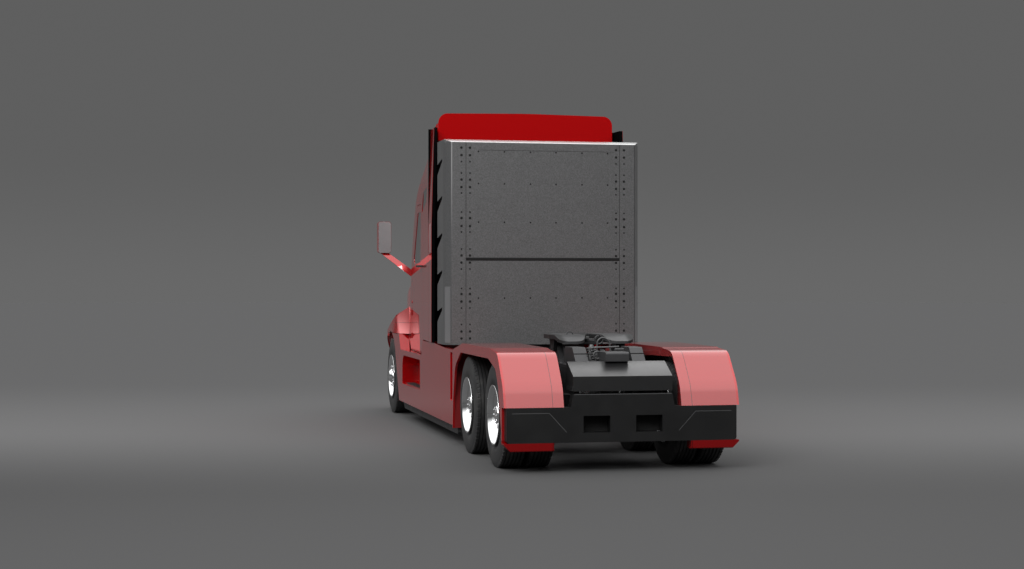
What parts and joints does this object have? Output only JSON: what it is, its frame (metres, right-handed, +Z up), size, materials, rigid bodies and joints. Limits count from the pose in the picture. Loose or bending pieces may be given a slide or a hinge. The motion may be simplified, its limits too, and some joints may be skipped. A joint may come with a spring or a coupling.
{
  "type": "semi truck tractor unit",
  "caption": "Conventional sleeper-cab road tractor with a tilting hood, full side skirts, dual-wheel tandem, chamfered equipment module behind the cab and a fifth wheel.",
  "frame": {"origin": "on the ground under the middle of the vehicle's length and width", "axes": "+Z up, -Y to the front, +X to the vehicle's left"},
  "size_m": [3.036, 9.5, 4.0589],
  "materials": {
    "chassis_black": "satin black chassis paint",
    "engine_grey": "cast iron",
    "tank_metal": "polished aluminium",
    "red_paint": "deep red gloss",
    "black_plastic": "satin black",
    "module_metal": "speckled grey",
    "coupling_steel": "greased dark steel",
    "window_glass": "tinted",
    "mirror_glass": "mirror",
    "lamp_glass": "clear",
    "grille_chrome": "bright",
    "dash_plastic": "grained",
    "seat_fabric": "woven",
    "tyre_rubber": "ribbed road tread",
    "wheel_chrome": "polished"
  },
  "bodies": {
    "root": {"frame": "chassis_black", "front_axle": "chassis_black", "drive_axles": "chassis_black", "suspension": "chassis_black", "engine_block": "engine_grey", "fuel_tanks": "tank_metal", "side_skirts": "red_paint", "lower_rails": "black_plastic", "cab_shell": "red_paint", "roof_cap": "red_paint", "cab_glass": "window_glass", "side_extenders": "red_paint", "module_box": "module_metal", "front_bumper": "black_plastic", "rear_fenders": "red_paint", "rear_bumper": "black_plastic", "tail_cover": "black_plastic", "fifth_wheel_base": "coupling_steel", "mirrors": "red_paint", "mirror_glasses": "mirror_glass", "dashboard": "dash_plastic", "cab_seats": "seat_fabric"},
    "hood": {"hood_shell": "red_paint", "headlamps": "lamp_glass", "grille": "grille_chrome"},
    "coupling_plate": {"fifth_wheel_plate": "coupling_steel"},
    "steering_left": {"knuckle_left": "chassis_black"},
    "steering_right": {"knuckle_right": "chassis_black"},
    "track_link": {"track_rod": "chassis_black"},
    "left_door": {"door_left": "red_paint", "door_glass_left": "window_glass", "door_handle_left": "black_plastic"},
    "right_door": {"door_right": "red_paint", "door_glass_right": "window_glass", "door_handle_right": "black_plastic"},
    "front_left": {"front_tyre_left": "tyre_rubber", "front_wheel_left": "wheel_chrome"},
    "front_right": {"front_tyre_right": "tyre_rubber", "front_wheel_right": "wheel_chrome"},
    "forward_left": {"forward_tyres_left": "tyre_rubber", "forward_wheels_left": "wheel_chrome"},
    "forward_right": {"forward_tyres_right": "tyre_rubber", "forward_wheels_right": "wheel_chrome"},
    "rear_left": {"rear_tyres_left": "tyre_rubber", "rear_wheels_left": "wheel_chrome"},
    "rear_right": {"rear_tyres_right": "tyre_rubber", "rear_wheels_right": "wheel_chrome"}
  },
  "joints": [
    {"name": "steer_left", "type": "hinge", "parent": "root", "child": "steering_left", "pos_m": [0.86, -3.68, 0.54], "axis": [0, 0, 1], "range_deg": [-38, 38]},
    {"name": "steer_right", "type": "hinge", "parent": "root", "child": "steering_right", "pos_m": [-0.86, -3.68, 0.54], "axis": [0, 0, 1], "range_deg": [-38, 38]},
    {"name": "track_rod_eye", "type": "hinge", "parent": "steering_left", "child": "track_link", "pos_m": [0.86, -3.47, 0.371], "axis": [0, 0, 1], "range_deg": [-38, 38]},
    {"name": "roll_front_left", "type": "hinge", "parent": "steering_left", "child": "front_left", "pos_m": [1.057, -3.68, 0.54], "axis": [1, 0, 0], "continuous": true},
    {"name": "roll_front_right", "type": "hinge", "parent": "steering_right", "child": "front_right", "pos_m": [-1.057, -3.68, 0.54], "axis": [1, 0, 0], "continuous": true},
    {"name": "roll_forward_left", "type": "hinge", "parent": "root", "child": "forward_left", "pos_m": [0.912, 2.53, 0.54], "axis": [1, 0, 0], "continuous": true},
    {"name": "roll_forward_right", "type": "hinge", "parent": "root", "child": "forward_right", "pos_m": [-0.912, 2.53, 0.54], "axis": [1, 0, 0], "continuous": true},
    {"name": "roll_rear_left", "type": "hinge", "parent": "root", "child": "rear_left", "pos_m": [0.912, 4.03, 0.54], "axis": [1, 0, 0], "continuous": true},
    {"name": "roll_rear_right", "type": "hinge", "parent": "root", "child": "rear_right", "pos_m": [-0.912, 4.03, 0.54], "axis": [1, 0, 0], "continuous": true},
    {"name": "door_left_hinge", "type": "hinge", "parent": "root", "child": "left_door", "pos_m": [1.0902, -2.31, 1.9], "axis": [0, 0, -1], "range_deg": [0, 68]},
    {"name": "door_right_hinge", "type": "hinge", "parent": "root", "child": "right_door", "pos_m": [-1.0902, -2.31, 1.9], "axis": [0, 0, 1], "range_deg": [0, 68]},
    {"name": "hood_tilt", "type": "hinge", "parent": "root", "child": "hood", "pos_m": [0, -4.67, 0.6], "axis": [1, 0, 0], "range_deg": [0, 55]},
    {"name": "plate_tilt", "type": "hinge", "parent": "root", "child": "coupling_plate", "pos_m": [0, 3.3, 1.215], "axis": [1, 0, 0], "range_deg": [-12, 12]}
  ],
  "couplings": [
    {"joint": "steer_right", "follows": "steer_left", "ratio": 1},
    {"joint": "track_rod_eye", "follows": "steer_left", "ratio": -1}
  ]
}
